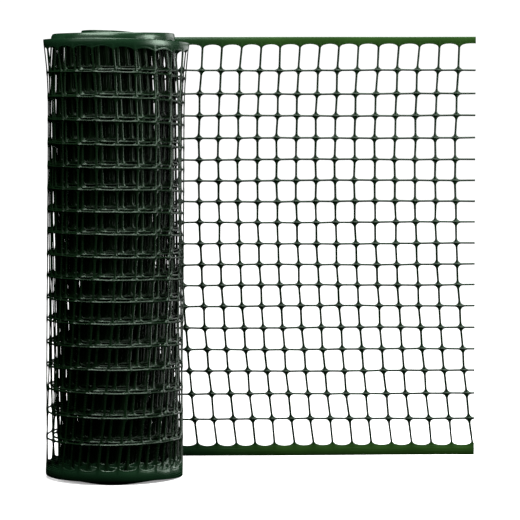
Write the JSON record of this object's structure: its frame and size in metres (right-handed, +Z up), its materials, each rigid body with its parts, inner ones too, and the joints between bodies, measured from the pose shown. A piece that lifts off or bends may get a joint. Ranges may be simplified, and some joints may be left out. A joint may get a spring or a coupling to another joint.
{
  "type": "roll of plastic mesh fencing",
  "caption": "Upright roll of extruded plastic mesh fencing with solid strips along both edges, its free length drawn off straight to one side and cut across.",
  "frame": {"origin": "on the surface it stands on, under the middle of the whole part's box", "axes": "+Z up along the roll's axis, +X from the roll to the cut end of the free length, +Y away from the viewer"},
  "size_m": [1.0112, 0.329, 1.0284],
  "materials": {
    "green_plastic": "dark green extruded polyethylene with a soft gloss, fine draw lines along the strips"
  },
  "bodies": {
    "root": {"wound_roll": "green_plastic", "free_length": "green_plastic"}
  },
  "joints": []
}
